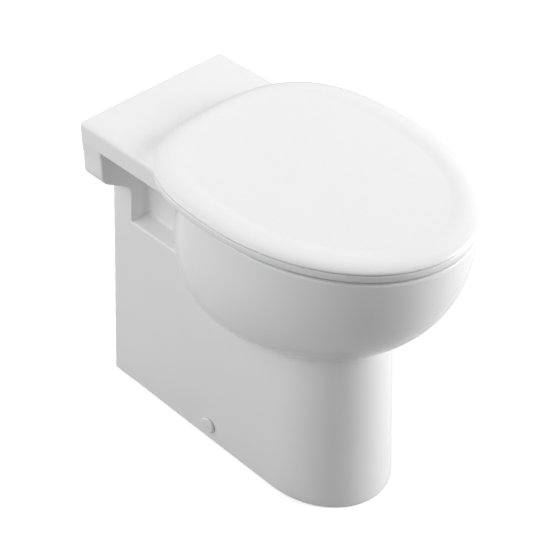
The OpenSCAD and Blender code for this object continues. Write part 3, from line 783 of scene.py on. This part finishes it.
def fine_surface_group():
    """Faint tone patches, roughness that drifts, and a shallow ripple with fine grain."""
    group, given, out = new_group(
        "fine_surface",
        [
            ("Tone", "NodeSocketColor", (0.9, 0.9, 0.9, 1)),
            ("Shade", "NodeSocketColor", (0.85, 0.85, 0.85, 1)),
            ("Patch scale", "NodeSocketFloat", 8.0),
            ("Grain scale", "NodeSocketFloat", 300.0),
            ("Smoothest", "NodeSocketFloat", 0.08),
            ("Roughest", "NodeSocketFloat", 0.14),
            ("Ripple height", "NodeSocketFloat", 0.1),
        ],
        [
            ("Color", "NodeSocketColor"),
            ("Roughness", "NodeSocketFloat"),
            ("Normal", "NodeSocketVector"),
        ],
    )
    tree = group.nodes
    link = group.links.new
    coords = tree.new("ShaderNodeTexCoord")
    patches = tree.new("ShaderNodeTexNoise")
    patches.inputs["Detail"].default_value = 3.0
    link(coords.outputs["Object"], patches.inputs["Vector"])
    link(given.outputs["Patch scale"], patches.inputs["Scale"])
    grain = tree.new("ShaderNodeTexNoise")
    grain.inputs["Detail"].default_value = 2.0
    link(coords.outputs["Object"], grain.inputs["Vector"])
    link(given.outputs["Grain scale"], grain.inputs["Scale"])
    tone = tree.new("ShaderNodeMix")
    tone.data_type = "RGBA"
    link(patches.outputs["Fac"], tone.inputs["Factor"])
    link(given.outputs["Shade"], tone.inputs["A"])
    link(given.outputs["Tone"], tone.inputs["B"])
    link(tone.outputs["Result"], out.inputs["Color"])
    spread = tree.new("ShaderNodeMapRange")
    link(grain.outputs["Fac"], spread.inputs["Value"])
    link(given.outputs["Smoothest"], spread.inputs["To Min"])
    link(given.outputs["Roughest"], spread.inputs["To Max"])
    spread.inputs["From Min"].default_value = 0.3
    spread.inputs["From Max"].default_value = 0.7
    link(spread.outputs["Result"], out.inputs["Roughness"])
    bump = tree.new("ShaderNodeBump")
    bump.inputs["Distance"].default_value = 0.001
    link(given.outputs["Ripple height"], bump.inputs["Strength"])
    link(grain.outputs["Fac"], bump.inputs["Height"])
    link(bump.outputs["Normal"], out.inputs["Normal"])
    return group


fine_surface = fine_surface_group()


def finish_material(name, surface, shader_values):
    material = bpy.data.materials.new(name)
    material.use_nodes = True
    tree = material.node_tree
    shader = tree.nodes["Principled BSDF"]
    group = tree.nodes.new("ShaderNodeGroup")
    group.node_tree = fine_surface
    for label, value in surface.items():
        group.inputs[label].default_value = value
    tree.links.new(group.outputs["Color"], shader.inputs["Base Color"])
    tree.links.new(group.outputs["Roughness"], shader.inputs["Roughness"])
    tree.links.new(group.outputs["Normal"], shader.inputs["Normal"])
    for label, value in shader_values.items():
        shader.inputs[label].default_value = value
    return material


def grey(level, warm=0.0):
    return (level, level, level - warm, 1.0)


china_glaze = finish_material(
    "china_glaze",
    {"Tone": grey(0.9), "Shade": grey(0.875), "Patch scale": 7.0, "Grain scale": 220.0,
     "Smoothest": 0.14, "Roughest": 0.2, "Ripple height": 0.02},
    {"IOR": 1.5},
)
seat_gloss = finish_material(
    "seat_gloss",
    {"Tone": grey(0.9), "Shade": grey(0.88), "Patch scale": 5.0, "Grain scale": 700.0,
     "Smoothest": 0.26, "Roughest": 0.34, "Ripple height": 0.015},
    {"IOR": 1.5},
)
cap_gloss = finish_material(
    "cap_gloss",
    {"Tone": grey(0.89), "Shade": grey(0.86), "Patch scale": 40.0, "Grain scale": 900.0,
     "Smoothest": 0.16, "Roughest": 0.26, "Ripple height": 0.03},
    {"IOR": 1.47},
)
buffer_rubber = finish_material(
    "buffer_rubber",
    {"Tone": grey(0.84), "Shade": grey(0.78), "Patch scale": 60.0, "Grain scale": 1200.0,
     "Smoothest": 0.45, "Roughest": 0.65, "Ripple height": 0.1},
    {"IOR": 1.45},
)
bush_acetal = finish_material(
    "bush_acetal",
    {"Tone": grey(0.72), "Shade": grey(0.66), "Patch scale": 50.0, "Grain scale": 900.0,
     "Smoothest": 0.3, "Roughest": 0.42, "Ripple height": 0.05},
    {"IOR": 1.48},
)
fixing_nylon = finish_material(
    "fixing_nylon",
    {"Tone": grey(0.86, 0.03), "Shade": grey(0.8, 0.03), "Patch scale": 30.0, "Grain scale": 800.0,
     "Smoothest": 0.35, "Roughest": 0.5, "Ripple height": 0.08},
    {"IOR": 1.5},
)
hinge_steel = finish_material(
    "hinge_steel",
    {"Tone": grey(0.66), "Shade": grey(0.56), "Patch scale": 90.0, "Grain scale": 1400.0,
     "Smoothest": 0.2, "Roughest": 0.36, "Ripple height": 0.08},
    {"Metallic": 1.0},
)
black_rubber = finish_material(
    "black_rubber",
    {"Tone": grey(0.05), "Shade": grey(0.035), "Patch scale": 40.0, "Grain scale": 1000.0,
     "Smoothest": 0.5, "Roughest": 0.7, "Ripple height": 0.12},
    {"IOR": 1.45},
)
clear_gasket = finish_material(
    "clear_gasket",
    {"Tone": grey(0.72), "Shade": grey(0.66), "Patch scale": 60.0, "Grain scale": 900.0,
     "Smoothest": 0.3, "Roughest": 0.45, "Ripple height": 0.06},
    {"IOR": 1.42},
)

BY_SLOT = {
    "glazed_china": china_glaze,
    "seat_gloss": seat_gloss,
    "white_cap": cap_gloss,
    "buffer_rubber": buffer_rubber,
    "bush_plastic": bush_acetal,
    "fixing_plastic": fixing_nylon,
    "stainless": hinge_steel,
    "black_rubber": black_rubber,
    "clear_rubber": clear_gasket,
}


def paint(obj, material):
    obj.data.materials.clear()
    obj.data.materials.append(material)


for part in frame["record"]["subparts"]:
    paint(nodes[part["node"]], BY_SLOT[part["material_slot"]])
paint(china, china_glaze)
paint(seat_skin, seat_gloss)
paint(lid_skin, seat_gloss)
paint(seat_pads, buffer_rubber)

# Width of the eased edges in millimetres, by how the node's name starts
BEVELLED = {
    "hinge_plate": 0.5,
    "hinge_bolt": 0.4,
    "floor_bracket": 0.8,
    "screw_cap": 0.3,
}
BEVEL_FROM = math.radians(40)
for name, obj in nodes.items():
    for start, width in BEVELLED.items():
        if name.startswith(start):
            bevel = obj.modifiers.new("eased_edges", "BEVEL")
            bevel.width = width / 1000.0
            bevel.segments = 2
            bevel.limit_method = "ANGLE"
            bevel.angle_limit = BEVEL_FROM

# ---------------------------------------------------------------- camera

TURN, TILT = math.radians(-43.326), math.radians(39.527)
FOCAL_PX, FRAME_PX, SENSOR = 1559.8, 540.0, 36.0
CENTRE_PX = (232.3, 267.1)
CAMERA_FROM = (0, -260, 200)
CAMERA_SHIFT = (-0.06099, 0.08333, 2.32547)  # metres to the right, up and back

to_right = Vector((math.cos(TURN), math.sin(TURN), 0))
to_back = Vector((math.sin(TURN) * math.cos(TILT), -math.cos(TURN) * math.cos(TILT), math.sin(TILT)))
to_top = to_back.cross(to_right)
camera_data = bpy.data.cameras.new("photo_camera")
camera = bpy.data.objects.new("photo_camera", camera_data)
bpy.context.scene.collection.objects.link(camera)
camera_place = place(*CAMERA_FROM)
for axis, shift in zip((to_right, to_top, to_back), CAMERA_SHIFT):
    camera_place = camera_place + axis * shift
camera_turn = Matrix((to_right, to_top, to_back)).transposed().to_4x4()
camera.matrix_world = Matrix.Translation(camera_place) @ camera_turn
camera_data.sensor_width = SENSOR
camera_data.lens = FOCAL_PX / FRAME_PX * SENSOR
camera_data.shift_x = (FRAME_PX / 2 - CENTRE_PX[0]) / FRAME_PX
camera_data.shift_y = (CENTRE_PX[1] - FRAME_PX / 2) / FRAME_PX
camera_data.clip_start, camera_data.clip_end = 0.05, 60
bpy.context.scene.camera = camera

# ---------------------------------------------------------------- light and floor

MIRRORED = 0.45
SKY_LIGHT = 0.14
FLOOR_HALF, FLOOR_DROP = 12.0, 0.0005
FLOOR_LIT, FLOOR_SHOWN, FLOOR_GLOW = 0.35, 0.9, 0.45
LAMP_AIM = Vector((0, 0, 0.3))


def seen_directly(tree):
    """Factor that is 1 for the camera and MIRRORED where a reflection or glass shows the surface."""
    path = tree.nodes.new("ShaderNodeLightPath")
    shiny = tree.nodes.new("ShaderNodeMath")
    shiny.operation = "MAXIMUM"
    tree.links.new(path.outputs["Is Glossy Ray"], shiny.inputs[0])
    tree.links.new(path.outputs["Is Transmission Ray"], shiny.inputs[1])
    share = tree.nodes.new("ShaderNodeMath")
    share.operation = "MULTIPLY"
    share.inputs[1].default_value = MIRRORED
    tree.links.new(shiny.outputs[0], share.inputs[0])
    either = tree.nodes.new("ShaderNodeMath")
    either.operation = "MAXIMUM"
    tree.links.new(path.outputs["Is Camera Ray"], either.inputs[0])
    tree.links.new(share.outputs[0], either.inputs[1])
    return either.outputs[0]


def split_light(tree, lighting, shown, output_kind):
    """The tree gives its lighting shader to the scene and its shown shader to the camera."""
    choice = tree.nodes.new("ShaderNodeMixShader")
    tree.links.new(seen_directly(tree), choice.inputs["Fac"])
    tree.links.new(lighting.outputs[0], choice.inputs[1])
    tree.links.new(shown.outputs[0], choice.inputs[2])
    output = tree.nodes.new(output_kind)
    tree.links.new(choice.outputs[0], output.inputs["Surface"])


def background(tree, strength):
    shader = tree.nodes.new("ShaderNodeBackground")
    shader.inputs["Color"].default_value = (1, 1, 1, 1)
    shader.inputs["Strength"].default_value = strength
    return shader


def diffuse(tree, level):
    shader = tree.nodes.new("ShaderNodeBsdfDiffuse")
    shader.inputs["Color"].default_value = grey(level)
    return shader


world = bpy.data.worlds.new("studio")
bpy.context.scene.world = world
world.use_nodes = True
sky = world.node_tree
sky.nodes.clear()
split_light(sky, background(sky, SKY_LIGHT), background(sky, 1.0), "ShaderNodeOutputWorld")

floor_bm = bmesh.new()
bmesh.ops.create_grid(floor_bm, x_segments=2, y_segments=2, size=FLOOR_HALF)
floor = finished(floor_bm, "studio_floor")
for vert in floor.data.vertices:
    vert.co.z = -FLOOR_DROP
paper = bpy.data.materials.new("floor_paper")
paper.use_nodes = True
sheet = paper.node_tree
sheet.nodes.clear()
glow = sheet.nodes.new("ShaderNodeEmission")
glow.inputs["Strength"].default_value = FLOOR_GLOW
brighter = sheet.nodes.new("ShaderNodeAddShader")
sheet.links.new(diffuse(sheet, FLOOR_SHOWN).outputs[0], brighter.inputs[0])
sheet.links.new(glow.outputs[0], brighter.inputs[1])
split_light(sheet, diffuse(sheet, FLOOR_LIT), brighter, "ShaderNodeOutputMaterial")
floor.data.materials.append(paper)


def soft_box(name, azimuth, elevation, distance, width, height, watts):
    """Area lamp aimed at the middle of the toilet; azimuth 0 is in front, 90 on its right."""
    a, e = math.radians(azimuth), math.radians(elevation)
    data = bpy.data.lights.new(name, "AREA")
    data.shape = "RECTANGLE"
    data.size, data.size_y = width, height
    data.energy = watts
    lamp = bpy.data.objects.new(name, data)
    bpy.context.scene.collection.objects.link(lamp)
    away = Vector((math.sin(a) * math.cos(e), -math.cos(a) * math.cos(e), math.sin(e)))
    lamp.location = LAMP_AIM + away * distance
    lamp.rotation_mode = "QUATERNION"
    lamp.rotation_quaternion = (-away).to_track_quat("-Z", "Y")


soft_box("rear_box", 180, 52, 3.0, 3.0, 2.8, 26)
soft_box("right_front_box", 45, 20, 2.4, 1.0, 1.8, 57)
soft_box("right_rear_box", 120, 40, 2.8, 2.4, 2.4, 17)
soft_box("left_rear_box", -125, 28, 2.8, 2.6, 2.4, 33.5)
soft_box("left_box", -90, 30, 2.8, 2.4, 2.4, 16)

bpy.context.scene.view_settings.view_transform = "Standard"

# ---------------------------------------------------------------- final update

bpy.context.view_layer.update()
